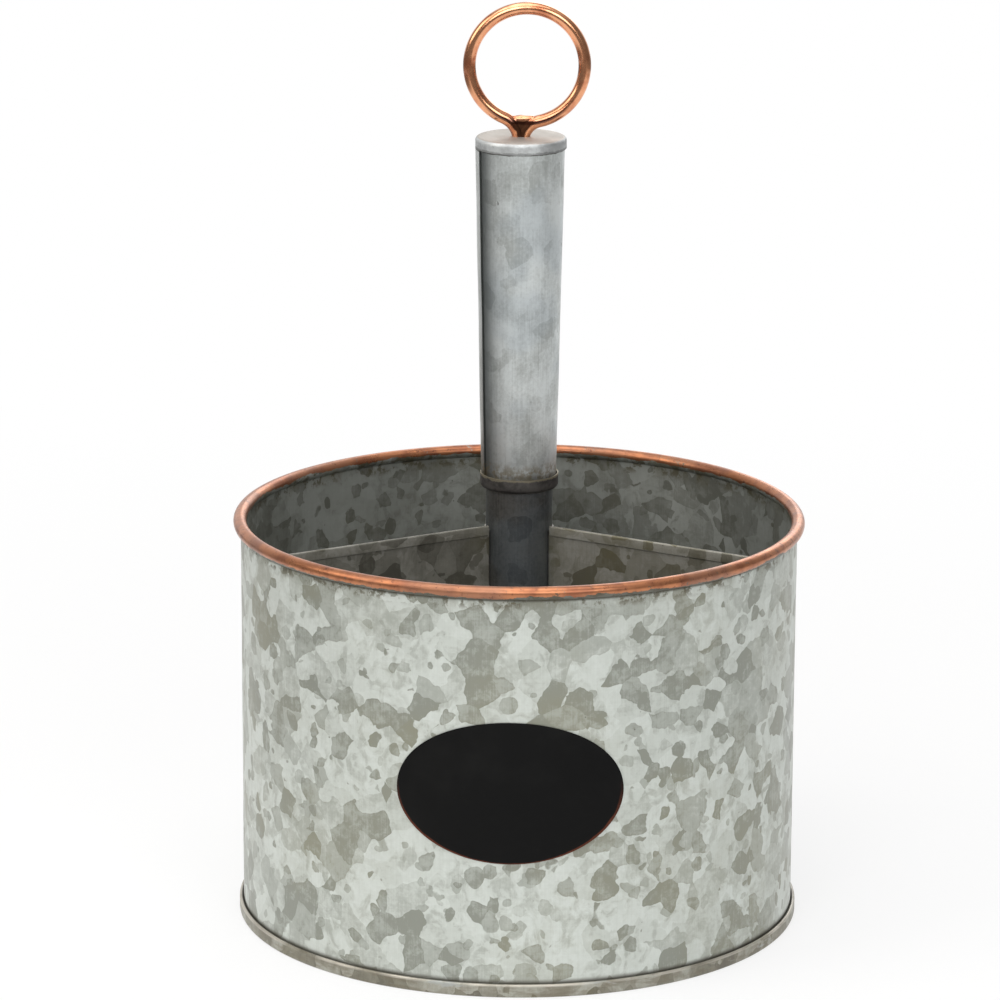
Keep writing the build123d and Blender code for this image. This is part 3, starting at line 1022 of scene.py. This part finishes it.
# The brazing metal starts as a block between the legs, wider at its top, that is rounded and dented.
braze_width = 0.0036
braze_thickness = 0.0034
braze_spread = 2.8
braze_thinning = 0.7
braze_rounding = 0.0010
braze_top = ring_middle.y - ring_radius + 0.0021
braze_low = leg_foot - 0.0008
braze_middle = (braze_low + braze_top) / 2
bpy.ops.object.select_all(action="DESELECT")
bpy.ops.mesh.primitive_cube_add(size=1, location=(0, 0, braze_middle))
braze = bpy.context.object
bpy.ops.transform.resize(value=(braze_width, braze_thickness, braze_top - braze_low))
bpy.ops.object.transform_apply(location=True, rotation=True, scale=True)
bpy.ops.object.mode_set(mode="EDIT")
select_edges(braze, lambda p: p.z > braze_middle)
bpy.ops.transform.resize(value=(braze_spread, braze_thinning, 1))
bpy.ops.object.mode_set(mode="OBJECT")
shape(braze, "BEVEL", width=braze_rounding, segments=4)
shape(braze, "SUBSURF", levels=2, render_levels=2)
dent(braze, size=0.0022, depth=0.0008, where=lambda p: p.z > braze_top - 0.0015, direction="Z")
shape(ring, "BOOLEAN", object=braze, operation="UNION", solver="EXACT", use_self=True)
bpy.ops.object.mode_set(mode="EDIT")
bpy.ops.mesh.select_all(action="SELECT")
bpy.ops.mesh.bisect(
    plane_co=(0, 0, leg_foot), plane_no=(0, 0, 1), use_fill=True, clear_inner=True, threshold=same_spot
)
close_up()
bpy.ops.object.shade_smooth_by_angle(angle=math.radians(50))
bpy.ops.object.select_all(action="DESELECT")
braze.select_set(True)
bpy.ops.object.delete()

copper, copper_surface, copper_place = new_finish("copper_plate")
worn = copper_place.noise(0.006, 3, 0.6)
copper_x, _, copper_z = copper_place.parts()
leg_curve = 0.0071  # About the radius at which the legs bend.
climb = copper_z - bend_height
leg_middle = leg_half + leg_curve - (leg_curve ** 2 - climb * climb).larger(0.0) ** 0.5
uneven = (copper_place.noise(0.002, 3, 0.6) - 0.5) * 0.0012
between = (leg_middle + 0.0003 - abs(copper_x) + uneven).ramp(-0.0003, 0.0004)
ring_x = copper_x - ring_middle.x
ring_z = copper_z - ring_middle.y
past_middle = ring_x.diagonal(ring_z) - ring_radius
crest = 0.0009 - abs(ring_x) * 0.2
web = between * (past_middle + crest + uneven).ramp(-0.0003, 0.0003) * (0 - ring_z).ramp(0.010, 0.014)
# A painted dark reflection along the middle of the wire, near the legs.
dark_reflection = (1 - abs(past_middle).ramp(0.0003, 0.0008)) * (0 - ring_z).ramp(0.011, 0.0165)
copper_tone = worn.ramp(0.4, 0.7).blend(tint(240, 168, 122), tint(202, 122, 82))
copper_tone = (dark_reflection * 0.9).blend(copper_tone, tint(78, 36, 20))
# The braze between the legs is near-black: a painted dark reflection of the recess.
copper_tone = (web * 0.95).blend(copper_tone, tint(40, 20, 14))
copper_place.fill(copper_surface, {
    "Base Color": copper_tone,
    "Metallic": 1.0,
    "Roughness": 0.16 + worn * 0.08 + web * 0.3,
    "Coat Weight": 0.9 - web * 0.9,
    "Coat Roughness": 0.1,
})
dress(ring, copper)
place_piece(ring, "handle_ring")


# Rod, washer and nut
# A zinc-plated rod runs from the ring down through the handle and the post. Under the floor, a large
# washer and a hexagon nut on the rod hold everything together.
fastener_zinc = bright_steel("fastener_zinc", tint(196, 198, 200), tint(160, 160, 158), 0.28)
for name in ("tie_rod", "base_washer", "base_nut"):
    dress_node(name, fastener_zinc)
